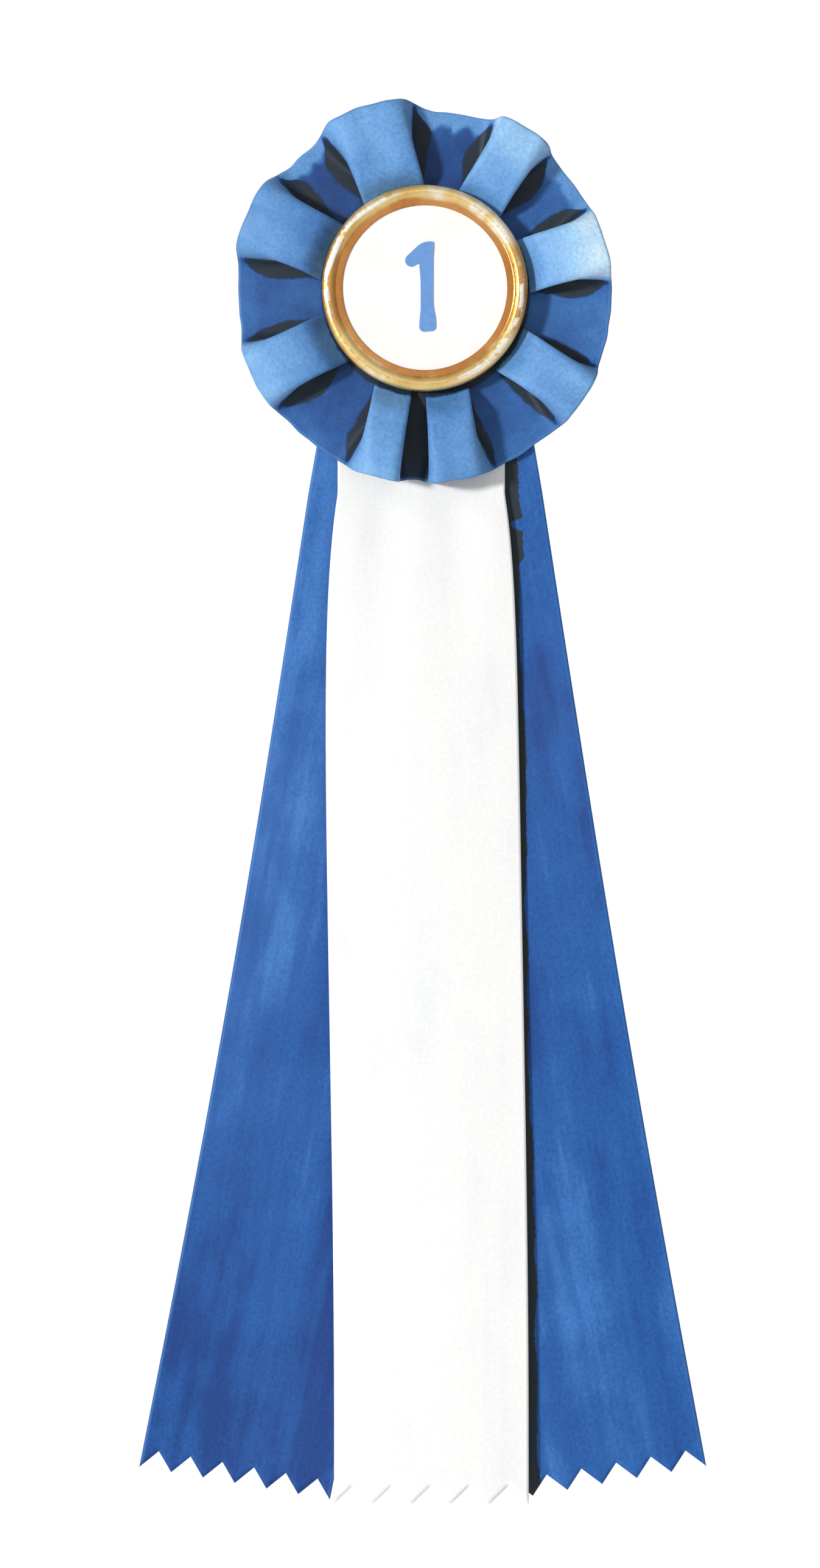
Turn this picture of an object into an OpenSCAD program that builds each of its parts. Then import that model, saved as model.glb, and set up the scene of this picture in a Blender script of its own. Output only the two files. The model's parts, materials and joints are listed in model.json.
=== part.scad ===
// Award ribbon: a box-pleated satin rosette with a gold-rimmed centre button,
// three hanging streamers and a locking bar pin on its back.
// +Z is up, the front faces -Y. The origin is the middle of the pin's straight needle.

/* [Head] */
// Outer radius of the pleated head
head_r = 48; // [45:0.5:50]
// Inner radius of the pleated ring, under the button
pleat_inner_r = 22.8; // [21:0.1:23.4]
// Height of a raised pleat at its open outer end
pleat_height = 8.6; // [6:0.1:9]
// How far the head's centre lies below the pin
head_drop = 12; // [10:0.5:16]

/* [Button] */
// Outer radius of the gold rim
rim_r = 26.4; // [25:0.1:27]
// Radius of the visible white disc
face_r = 21.1; // [19:0.1:21.5]
// How far the button sits above the head's centre
button_lift = 1; // [0:0.1:2]
// Height of the numeral
numeral_h = 23.3; // [18:0.1:26]

/* [Streamers] */
// Width of each streamer
tail_w = 50; // [46:0.5:52]
// Thickness of each streamer
tail_t = 0.4; // [0.3:0.05:0.4]
// Distance from the head's centre down to a streamer's lower end
tail_drop = 311; // [250:1:330]
// Sideways slant of the left blue streamer
left_splay = 9.9; // [6:0.1:12]
// Sideways slant of the right blue streamer
right_splay = 9.5; // [6:0.1:12]
// Points cut into the white streamer's end
white_teeth = 5; // [4:1:8]
// Points cut into each blue streamer's end
blue_teeth = 6; // [4:1:8]

/* [Pin] */
// Diameter of the needle
needle_d = 0.8; // [0.7:0.05:1]
// Length of the needle's straight stretch
needle_span = 20; // [18:0.5:22]
// Distance from the needle's axis to the pin plate
needle_stand = 5.2; // [5:0.1:6]
// Width of the pin plate
plate_w = 5.6; // [5:0.1:8]

/* [Hidden] */
$fn = 64;

// Colours
royal_blue = [0.14, 0.37, 0.67];
light_blue = [0.38, 0.60, 0.84];
white = [0.98, 0.98, 0.96];
gold = [0.86, 0.68, 0.32];
card = [0.90, 0.88, 0.82];
steel = [0.75, 0.76, 0.78];
brass = [0.80, 0.66, 0.38];

// Small distances used throughout
eps = 0.01;       // overlap between solids that are joined
reach = 200;      // larger than anything that is cut
layer_gap = 0.3;  // free space between two streamers

// Layers from the pin forwards; each value is the y of a layer's rear face
plate_t = 0.8;
cover_t = 1;
staple_room = 0.5;
disc_t = 1.2;
plate_y = -needle_stand;
cover_y = plate_y - plate_t;
left_y = cover_y - cover_t - staple_room;
right_y = left_y - tail_t - layer_gap;
white_y = right_y - tail_t - layer_gap;
disc_y = white_y - tail_t;
pleat_y = disc_y - disc_t;
inner_pleat_h = 1.7;
button_y = pleat_y - 3;

// Head
head_z = -head_drop;
disc_r = 31;
cover_r = 30.5;
base_t = 0.8;
cavity_r = 26.5;
cloth_t = 0.5;
recess_r = head_r - 1;
// Bearing and spread of each raised pleat, in degrees clockwise from the top
loop_at = [31, 76, 123, 165, 200, 243, 293, 344];
loop_spread = [18, 24, 23, 18, 19, 23, 27, 26];
// How much narrower a pleat is at its inner end, and how far it bulges past its base
loop_taper = 0.62;
loop_bulge = 3;
stitch_count = 24;
stitch_r = 0.2;
stitch_len = 3.6;
stitch_ring_r = 24.4;

// Button, with depths measured forwards from its back
shell_r = rim_r - 0.7;
shell_t = 0.4;
face_depth = 3.4;
card_t = 0.6;
print_t = 0.2;
bead_w = 1.8;
bead_h = 1.3;
step_h = 0.55;
collet_inner_r = 19;
prong_w = 3;
prong_t = 0.4;
prong_x = 14;
prong_z = 9;
prong_fold = 4;
prong_bridge = 5.5;

// Streamers
tails_top = 4;          // the streamers' upper ends, below the head's centre
fan_drop = 25;          // where the blue streamers cross, below the head's centre
bend_drop = 51.5;       // the line on which the streamers swing, below the head's centre
bend_z = head_z - bend_drop;
bend_gap = 0.35;        // gap on each side of that line
white_step = 0.9;       // how far the white streamer steps forwards past the support disc
tooth_depth = 4.8;
left_len = 285.5;
right_len = 285;
staple_r = 0.25;
staple_w = 9;
staple_drop = 12;       // the row of staples, below the head's centre
staple_pitch = 13;

// Pin
needle_r = needle_d / 2;
hinge_x = -needle_span / 2 - 2;
eye_r = 1.2;
eye_h = 1.8;
rivet_r = 0.5;
run_gap = 0.05;
ear_t = 0.7;
ear_gap = 0.1;
ear_r = 1.3;
tip_len = 4.8;
tip_r = 0.08;
catch_x = needle_span / 2 + 2;
catch_len = 3;
catch_r = 2.2;
barrel_r = 1.5;
barrel_bore = 0.7;
slot_w = 1.2;
collar_t = 0.6;
lever_len = 3.4;
plate_x0 = hinge_x - 2.4;
plate_x1 = catch_x + catch_len + 2;
plate_rivets = [-6, 7];
plate_rivet_r = 0.9;
plate_rivet_head = 1.7;
head_t = 0.4;

// ---------------------------------------------------------------- helpers

// Places its children on the head's axis, pointing forwards, from depth y
module on_head(y, lift = 0) {
    translate([0, y, head_z + lift]) rotate([90, 0, 0]) children();
}

// A flat disc facing forwards, its rear face at y
module face_disc(r, y, t, lift = 0) {
    on_head(y, lift) cylinder(r = r, h = t);
}

// ---------------------------------------------------------------- pleats

// Cross-section of a raised pleat: a half ellipse standing forwards
module loop_section(w, h) {
    intersection() {
        scale([w / 2, h]) circle(r = 1, $fn = 32);
        translate([-w, -2 * h]) square([2 * w, 2 * h]);
    }
}

// A pleat that opens from r0, flat, to r1, full height
module loop_solid(w0, w1, h0, h1, r0, r1) {
    slice = 0.1;
    hull() {
        translate([0, 0, r0]) linear_extrude(slice) loop_section(w0, h0);
        translate([0, 0, r1 - slice]) linear_extrude(slice) loop_section(w1, h1);
    }
}

// One raised pleat: a tapering tube of cloth, open at the outer edge
module pleat_loop(spread) {
    w1 = 2 * head_r * sin(spread / 2) + loop_bulge;
    w0 = loop_taper * w1;
    difference() {
        loop_solid(w0, w1, inner_pleat_h, pleat_height, pleat_inner_r, head_r);
        translate([0, base_t / 2, 0])
            loop_solid(w0 - loop_bulge, w1 - 2 * cloth_t, cloth_t, pleat_height - cloth_t + base_t / 2,
                cavity_r, head_r + 1);
    }
}

module pleated_ribbon() {
    color(light_blue) {
        difference() {
            face_disc(recess_r, pleat_y, base_t);
            face_disc(pleat_inner_r, pleat_y + 1, base_t + 2);
        }
        for (i = [0 : len(loop_at) - 1])
            translate([0, pleat_y, head_z]) rotate([0, loop_at[i], 0])
                pleat_loop(loop_spread[i]);
    }
}

// Thread stitches that gather the pleats' inner edge
module pleat_stitching() {
    rise = (pleat_height - inner_pleat_h) / (head_r - pleat_inner_r);
    outer_edge = stitch_ring_r + 2 * stitch_r;
    stitch_y = pleat_y - inner_pleat_h - rise * (outer_edge - pleat_inner_r) - stitch_r;
    color(royal_blue)
        for (i = [0 : stitch_count - 1])
            translate([0, stitch_y, head_z]) rotate([0, i * 360 / stitch_count, 0])
                translate([-stitch_len / 2, 0, stitch_ring_r]) rotate([0, 90, 0])
                    cylinder(r = stitch_r, h = stitch_len, $fn = 16);
}

// ---------------------------------------------------------------- cards

module prong_slots() {
    for (side = [-1, 1])
        translate([side * prong_x, disc_y - disc_t / 2, head_z + prong_z])
            cube([prong_t, disc_t + 1, prong_w + 0.2], center = true);
}

module support_disc() {
    color(card) difference() {
        face_disc(disc_r, disc_y, disc_t);
        prong_slots();
    }
}

module back_cover() {
    color(card) difference() {
        face_disc(cover_r, cover_y, cover_t);
        for (x = plate_rivets)
            translate([x, cover_y + 1, 0]) rotate([90, 0, 0]) cylinder(r = plate_rivet_r, h = cover_t + 2);
    }
}

// ---------------------------------------------------------------- streamers

// Pinked outline from top to bottom, its teeth cut into the lower edge
module tail_outline(top, bottom, teeth) {
    pitch = tail_w / teeth;
    lower = [for (i = [0 : 2 * teeth])
        [-tail_w / 2 + i * pitch / 2, i % 2 == 0 ? bottom : bottom + tooth_depth]];
    polygon(concat([[tail_w / 2, top], [-tail_w / 2, top]], lower));
}

// Cuts its children at the bend: the part above it when upper, the rest when not
module at_bend(upper) {
    intersection() {
        children();
        translate([-reach, -reach / 2, upper ? bend_z + bend_gap : bend_z - bend_gap - 2 * reach])
            cube([2 * reach, reach, 2 * reach]);
    }
}

// A whole blue streamer, slanted by turn, its rear face at y
module blue_ribbon(turn, y, length) {
    translate([0, y, head_z - fan_drop]) rotate([0, turn, 0]) rotate([90, 0, 0])
        linear_extrude(tail_t) tail_outline(fan_drop - tails_top - 2, -length, blue_teeth);
}

module left_tail_root() {
    color(royal_blue) at_bend(true) blue_ribbon(left_splay, left_y, left_len);
}

module left_tail() {
    color(royal_blue) at_bend(false) blue_ribbon(left_splay, left_y, left_len);
}

module right_tail_root() {
    color(royal_blue) at_bend(true) blue_ribbon(-right_splay, right_y, right_len);
}

module right_tail() {
    color(royal_blue) at_bend(false) blue_ribbon(-right_splay, right_y, right_len);
}

// The white streamer above the bend: flat behind the support disc, then stepping forwards
module white_tail_root() {
    z0 = head_z - tails_top;
    z1 = head_z - disc_r - 1;
    z2 = z1 - 9;
    z3 = bend_z + bend_gap;
    y0 = white_y;
    y1 = white_y - white_step;
    color(white) translate([-tail_w / 2, 0, 0]) rotate([90, 0, 90]) linear_extrude(tail_w)
        polygon([[y0, z0], [y0, z1], [y1, z2], [y1, z3],
            [y1 - tail_t, z3], [y1 - tail_t, z2], [y0 - tail_t, z1], [y0 - tail_t, z0]]);
}

module white_tail() {
    color(white) translate([0, white_y - white_step, 0]) rotate([90, 0, 0]) linear_extrude(tail_t)
        tail_outline(bend_z - bend_gap, head_z - tail_drop, white_teeth);
}

// Three wire staples through the support disc and the streamers' upper ends
module tail_staples() {
    front_y = pleat_y - staple_r;
    rear_y = left_y + staple_r;
    color(steel) for (x = [-staple_pitch, 0, staple_pitch])
        translate([x, 0, head_z - staple_drop]) {
            for (y = [front_y, rear_y])
                translate([-staple_w / 2, y, 0]) rotate([0, 90, 0])
                    cylinder(r = staple_r, h = staple_w, $fn = 16);
            for (side = [-1, 1])
                translate([side * staple_w / 2, rear_y, 0]) {
                    rotate([90, 0, 0]) cylinder(r = staple_r, h = rear_y - front_y, $fn = 16);
                    sphere(r = staple_r, $fn = 16);
                    translate([0, front_y - rear_y, 0]) sphere(r = staple_r, $fn = 16);
                }
        }
}

// ---------------------------------------------------------------- button

// Ring profile: a round outer bead and a low inner step that holds the card down
module rim_profile() {
    top = face_depth + card_t;
    bead_x = rim_r - bead_w;
    bead = [for (a = [0 : 15 : 150]) [bead_x + bead_w * cos(a), top + bead_h * sin(a)]];
    polygon(concat([[shell_r, 0], [rim_r, 0]], bead,
        [[bead_x - bead_w, top + step_h], [face_r + 0.3, top + step_h],
            [face_r, top + step_h - 0.3], [face_r, top], [shell_r, top]]));
}

module gold_rim() {
    color(gold) on_head(button_y, button_lift) rotate_extrude($fn = 96) rim_profile();
}

module centre_disc() {
    color(white) face_disc(shell_r - run_gap, button_y - face_depth, card_t, button_lift);
}

// The numeral one: an upright stroke with a flared foot and a slanting flag
module numeral() {
    stroke = 0.146 * numeral_h;
    foot = 0.19 * numeral_h;
    top = numeral_h / 2;
    stem_x = 0.034 * numeral_h;
    flag_r = 0.078 * numeral_h;
    color(light_blue) on_head(button_y - face_depth - card_t, button_lift) linear_extrude(print_t) {
        hull() {
            translate([stem_x, top - stroke / 2]) circle(d = stroke, $fn = 32);
            translate([stem_x, -top + 2 * foot]) circle(d = stroke, $fn = 32);
        }
        hull() {
            translate([stem_x, -top + 2 * foot]) circle(d = stroke, $fn = 32);
            for (side = [-1, 1])
                translate([stem_x + side * foot / 4, -top + foot / 4]) circle(d = foot / 2, $fn = 32);
        }
        hull() {
            translate([stem_x, top - stroke / 2]) circle(d = stroke, $fn = 32);
            translate([stem_x - 0.16 * numeral_h, top - 0.205 * numeral_h]) circle(r = flag_r, $fn = 32);
        }
    }
}

// Pressed metal cup under the card
module button_shell() {
    color(steel) difference() {
        face_disc(shell_r, button_y, face_depth, button_lift);
        face_disc(shell_r - shell_t, button_y + 1, face_depth - shell_t + 1, button_lift);
    }
}

// Ring pressed into the open back of the cup
module button_collet() {
    color(steel) difference() {
        face_disc(shell_r - shell_t, button_y, shell_t, button_lift);
        face_disc(collet_inner_r, button_y + 1, shell_t + 2, button_lift);
    }
}

// Bridge and two tabs that pass through the support disc and fold flat behind it
module button_prongs() {
    front_y = button_y - shell_t;
    color(steel) for (side = [-1, 1]) {
        translate([side * prong_x - prong_t / 2, front_y, head_z + prong_z - prong_w / 2])
            cube([prong_t, disc_y + prong_t - front_y, prong_w]);
        translate([side > 0 ? prong_x - prong_fold : -prong_x, disc_y, head_z + prong_z - prong_w / 2])
            cube([prong_fold, prong_t, prong_w]);
        translate([side > 0 ? prong_x : -prong_x - prong_bridge, front_y - prong_t,
            head_z + prong_z - prong_w / 2])
            cube([prong_bridge, prong_t, prong_w]);
    }
}

// ---------------------------------------------------------------- pin

module pin_plate() {
    color(brass) difference() {
        translate([0, plate_y, 0]) rotate([90, 0, 0]) linear_extrude(plate_t) {
            translate([plate_x0 + plate_w / 2, 0]) circle(d = plate_w);
            translate([plate_x1 - plate_w / 2, 0]) circle(d = plate_w);
            translate([plate_x0 + plate_w / 2, -plate_w / 2])
                square([plate_x1 - plate_x0 - plate_w, plate_w]);
        }
        for (x = plate_rivets)
            translate([x, plate_y + 1, 0]) rotate([90, 0, 0]) cylinder(r = plate_rivet_r, h = plate_t + 2);
    }
}

// Two ears on the plate, bored for the hinge rivet
module hinge_ears() {
    color(brass) difference() {
        for (side = [0, 1]) mirror([0, 0, side])
            translate([hinge_x, 0, eye_h / 2 + ear_gap]) {
                cylinder(r = ear_r, h = ear_t);
                translate([-ear_r, -needle_stand, 0]) cube([2 * ear_r, needle_stand, ear_t]);
            }
        translate([hinge_x, 0, -plate_w]) cylinder(r = rivet_r, h = 2 * plate_w);
    }
}

module hinge_rivet() {
    half = eye_h / 2 + ear_gap + ear_t;
    color(steel) translate([hinge_x, 0, 0]) {
        translate([0, 0, -half]) cylinder(r = rivet_r, h = 2 * half);
        for (side = [0, 1]) mirror([0, 0, side])
            translate([0, 0, half]) cylinder(r1 = 2 * rivet_r, r2 = rivet_r, h = head_t);
    }
}

// Needle with its hinge eye, a straight shank and a tapered point
module needle() {
    neck_x = hinge_x + eye_r - 0.3;
    color(steel) {
        difference() {
            union() {
                translate([hinge_x, 0, -eye_h / 2]) cylinder(r = eye_r, h = eye_h);
                translate([neck_x, 0, 0]) rotate([0, 90, 0])
                    cylinder(r = needle_r + 0.2, h = -needle_span / 2 - neck_x);
            }
            translate([hinge_x, 0, -eye_h]) cylinder(r = rivet_r + run_gap, h = 2 * eye_h);
        }
        translate([-needle_span / 2 - eps, 0, 0]) rotate([0, 90, 0])
            cylinder(r = needle_r, h = needle_span + eps);
        translate([needle_span / 2, 0, 0]) rotate([0, 90, 0])
            cylinder(r1 = needle_r, r2 = tip_r, h = tip_len);
    }
}

// A slotted tube along X, with its slot facing backwards
module slotted_tube(x, length, outer_r, inner_r, slot) {
    difference() {
        translate([x, 0, 0]) rotate([0, 90, 0]) cylinder(r = outer_r, h = length);
        translate([x - 1, 0, 0]) rotate([0, 90, 0]) cylinder(r = inner_r, h = length + 2);
        translate([x - 1, 0, -slot / 2]) cube([length + 2, outer_r + 1, slot]);
    }
}

// C-shaped catch on a post
module catch() {
    post_w = 2.4;
    color(brass) {
        slotted_tube(catch_x, catch_len, catch_r, barrel_r + run_gap, slot_w);
        difference() {
            translate([catch_x, -needle_stand, -post_w / 2]) cube([catch_len, needle_stand, post_w]);
            translate([catch_x - 1, 0, 0]) rotate([0, 90, 0])
                cylinder(r = (catch_r + barrel_r) / 2, h = catch_len + 2);
        }
    }
}

// Turning drum with a slot, a collar at each end and a finger lever
module lock_barrel() {
    gap = 0.1;
    x0 = catch_x - gap - collar_t;
    x1 = catch_x + catch_len + gap;
    color(steel) difference() {
        union() {
            translate([x0, 0, 0]) rotate([0, 90, 0]) cylinder(r = barrel_r, h = x1 + collar_t - x0);
            for (x = [x0, x1])
                translate([x, 0, 0]) rotate([0, 90, 0]) cylinder(r = catch_r, h = collar_t);
            translate([x1, -slot_w / 2, -lever_len]) cube([collar_t, slot_w, lever_len]);
        }
        translate([x0 - 1, 0, 0]) rotate([0, 90, 0]) cylinder(r = barrel_bore, h = catch_len + 5);
        translate([x0 - 1, 0, -slot_w / 2]) cube([catch_len + 5, catch_r + 1, slot_w]);
    }
}

// Two rivets that hold the plate on the back cover
module pin_rivets() {
    color(steel) for (x = plate_rivets)
        translate([x, plate_y, 0]) rotate([90, 0, 0]) {
            cylinder(r = plate_rivet_r, h = plate_t + cover_t);
            translate([0, 0, plate_t + cover_t]) cylinder(r = plate_rivet_head, h = head_t);
            translate([0, 0, -head_t]) cylinder(r = plate_rivet_head, h = head_t);
        }
}

pleated_ribbon();
pleat_stitching();
support_disc();
back_cover();
white_tail_root();
white_tail();
left_tail_root();
left_tail();
right_tail_root();
right_tail();
tail_staples();
gold_rim();
centre_disc();
numeral();
button_shell();
button_collet();
button_prongs();
pin_plate();
hinge_ears();
hinge_rivet();
needle();
catch();
lock_barrel();
pin_rivets();
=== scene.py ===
"""Award ribbon: the visual model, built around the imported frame.

Metres, +Z up, the front of the button faces -Y. Lengths below are written in millimetres times MM.
"""
import json
import math
from collections import namedtuple

import bpy
import numpy as np
from mathutils import Matrix, Vector, noise


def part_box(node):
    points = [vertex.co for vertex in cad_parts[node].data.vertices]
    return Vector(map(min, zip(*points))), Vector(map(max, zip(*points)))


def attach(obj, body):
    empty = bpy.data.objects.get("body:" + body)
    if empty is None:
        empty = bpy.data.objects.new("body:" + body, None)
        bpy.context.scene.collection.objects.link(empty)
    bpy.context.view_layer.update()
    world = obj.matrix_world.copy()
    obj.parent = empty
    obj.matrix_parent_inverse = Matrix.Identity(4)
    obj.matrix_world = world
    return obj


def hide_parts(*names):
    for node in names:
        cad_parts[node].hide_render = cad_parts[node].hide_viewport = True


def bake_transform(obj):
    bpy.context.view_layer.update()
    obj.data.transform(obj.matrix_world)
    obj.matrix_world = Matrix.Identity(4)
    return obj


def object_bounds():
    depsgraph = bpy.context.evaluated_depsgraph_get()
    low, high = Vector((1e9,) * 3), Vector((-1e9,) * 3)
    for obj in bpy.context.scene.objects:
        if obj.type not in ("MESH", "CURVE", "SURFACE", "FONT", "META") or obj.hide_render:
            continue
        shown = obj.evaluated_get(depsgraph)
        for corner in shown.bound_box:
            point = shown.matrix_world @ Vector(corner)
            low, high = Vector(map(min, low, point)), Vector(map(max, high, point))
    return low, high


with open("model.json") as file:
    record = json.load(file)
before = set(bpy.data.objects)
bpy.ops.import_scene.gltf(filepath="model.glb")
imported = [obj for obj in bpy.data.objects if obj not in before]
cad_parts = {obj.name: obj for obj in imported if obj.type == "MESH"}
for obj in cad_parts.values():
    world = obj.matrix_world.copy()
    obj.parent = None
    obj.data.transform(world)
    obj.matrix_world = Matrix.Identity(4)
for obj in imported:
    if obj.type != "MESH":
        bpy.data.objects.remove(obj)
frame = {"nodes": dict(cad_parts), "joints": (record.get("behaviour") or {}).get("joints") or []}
cad_low, cad_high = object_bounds()

MM = 0.001

# ------------------------------------------------------------------ sizes taken from the frame


def middle(node):
    low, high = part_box(node)
    return (low + high) / 2


pleat_low, pleat_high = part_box("pleated_ribbon")
rim_low, rim_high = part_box("gold_rim")
white_low, white_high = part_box("white_tail")

HEAD = middle("support_disc")                  # the head's centre; its y isn't used
HEAD_R = (pleat_high.z - pleat_low.z) / 2      # outer radius of the pleats
PLEAT_Y = pleat_high.y                         # rear face of the pleats
RIM = middle("gold_rim")
RIM_R = (rim_high.x - rim_low.x) / 2
TAIL_W = white_high.x - white_low.x
BEND = {j["child"]: Vector(j["pos_m"]) for j in frame["joints"]}   # a point on each joint's axis
BEND_Z = BEND["white_tail"].z                  # height of the streamers' bend lines

# ------------------------------------------------------------------ the pleats' own sizes

PLEAT_INNER_R = 23.2 * MM     # the ribbon's stitched edge, under the button
SIDE = 7.2 * MM               # depth of a fold where it's stitched
INNER_CREASE = 1.6 * MM       # length of ribbon in a pressed crease at the stitched edge
OUTER_CREASE = 7.0 * MM       # and at the open edge, where the folds are round
ARCH_TOP = 0.6                # share of a raised pleat that is flat at the open edge
RIBBON_T = 0.22 * MM
# A valley between two pleats. Its bearing is in degrees, and its widths are in mm at the stitched edge and at
# the open edge. reach is in mm beyond the head's radius, and opening is how freely its sides open. Its tones,
# by the button and at the open edge, are places in PLEAT_DYE_AND_SHADE: painted shade, deeper than the raised
# pleats. hollow_1 and hollow_2 are the greatest widths in mm of the painted near-black shadow in the hollows
# on its first and second side.
Valley = namedtuple("Valley", "bearing inner_w outer_w reach opening inner_tone outer_tone hollow_1 hollow_2")
# The raised pleat that follows a valley, with its own reach and tones; the tones are painted light, paler
# than the valleys
Pleat = namedtuple("Pleat", "reach inner_tone outer_tone")
# Both lists run clockwise from the top
VALLEYS = [
    Valley(9.5, 4.6, 19.0, -2.2, 1.0, 0.26, 0.58, 4.4, 4.0),
    Valley(52.5, 4.0, 15.5, -1.6, 1.0, 0.34, 0.56, 4.6, 3.8),
    Valley(100, 5.4, 21.0, -1.0, 1.0, 0.39, 0.42, 3.8, 2.6),
    Valley(146, 4.6, 18.0, -1.0, 1.0, 0.33, 0.37, 2.4, 2.2),
    Valley(183.5, 2.6, 5.6, -1.0, 0.7, 0.05, 0.06, 3.0, 3.0),
    Valley(218.5, 5.4, 21.0, -1.0, 1.0, 0.30, 0.35, 3.4, 4.6),
    Valley(267.5, 5.2, 19.5, -1.2, 1.0, 0.33, 0.38, 3.2, 3.8),
    Valley(317.5, 4.0, 13.5, -1.6, 1.0, 0.27, 0.58, 4.8, 4.8),
]
PLEATS = [
    Pleat(0.2, 0.54, 0.80),
    Pleat(-1.1, 0.58, 0.96),
    Pleat(0.0, 0.60, 0.62),
    Pleat(0.1, 0.52, 0.58),
    Pleat(0.1, 0.58, 0.68),
    Pleat(0.2, 0.44, 0.70),
    Pleat(0.6, 0.46, 0.60),
    Pleat(0.9, 0.56, 0.64),
]

LEFT_SPLAY = math.radians(9.9)
RIGHT_SPLAY = math.radians(-9.6)
FAN_DROP = 25 * MM            # where the blue streamers cross, below the head's centre


# ------------------------------------------------------------------ small helpers


def smooth(t):
    """0 below t = 0 and 1 above t = 1, with a smooth rise between them."""
    t = np.clip(t, 0.0, 1.0)
    return t * t * (3 - 2 * t)


def mix(a, b, t):
    return a + (b - a) * t


def new_mesh(name, points, faces):
    mesh = bpy.data.meshes.new(name)
    mesh.from_pydata([tuple(p) for p in points], [], faces)
    mesh.update()
    piece = bpy.data.objects.new(name, mesh)
    bpy.context.scene.collection.objects.link(piece)
    for polygon in mesh.polygons:
        polygon.use_smooth = True
    return piece


def grid_faces(columns, rows, closed=False):
    """Faces of a grid whose point index is column * rows + row; closed joins the last column to the first."""
    faces = []
    for i in range(columns if closed else columns - 1):
        j = (i + 1) % columns
        for k in range(rows - 1):
            faces.append((i * rows + k, i * rows + k + 1, j * rows + k + 1, j * rows + k))
    return faces


def point_attribute(piece, name, values):
    attribute = piece.data.attributes.new(name, "FLOAT", "POINT")
    attribute.data.foreach_set("value", np.asarray(values, np.float32).ravel())


def cloth_uv(piece, u, v):
    """Lays a map in metres of real ribbon on the piece: u along it, v across it, one value per point."""
    layer = piece.data.uv_layers.new(name="ribbon")
    index = np.empty(len(piece.data.loops), np.int32)
    piece.data.loops.foreach_get("vertex_index", index)
    u = np.asarray(u, float).ravel()[index]
    v = np.asarray(v, float).ravel()[index]
    # the closing faces of a ring would run the whole length backwards
    whole = u.max()
    for polygon in piece.data.polygons:
        loops = slice(polygon.loop_start, polygon.loop_start + polygon.loop_total)
        if u[loops].max() - u[loops].min() > whole / 2:
            u[loops] = np.where(u[loops] < whole / 2, u[loops] + whole, u[loops])
    layer.data.foreach_set("uv", np.stack([u, v], 1).astype(np.float32).ravel())


def thicken(piece, thickness):
    """Gives the ribbon its thickness; the piece's second material goes on the face that this adds.

    That face is the rear of the streamers and the front of the pleats.
    """
    solid = piece.modifiers.new("thickness", "SOLIDIFY")
    solid.thickness = thickness
    solid.offset = 0
    solid.material_offset = 1


# ------------------------------------------------------------------ materials


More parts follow.
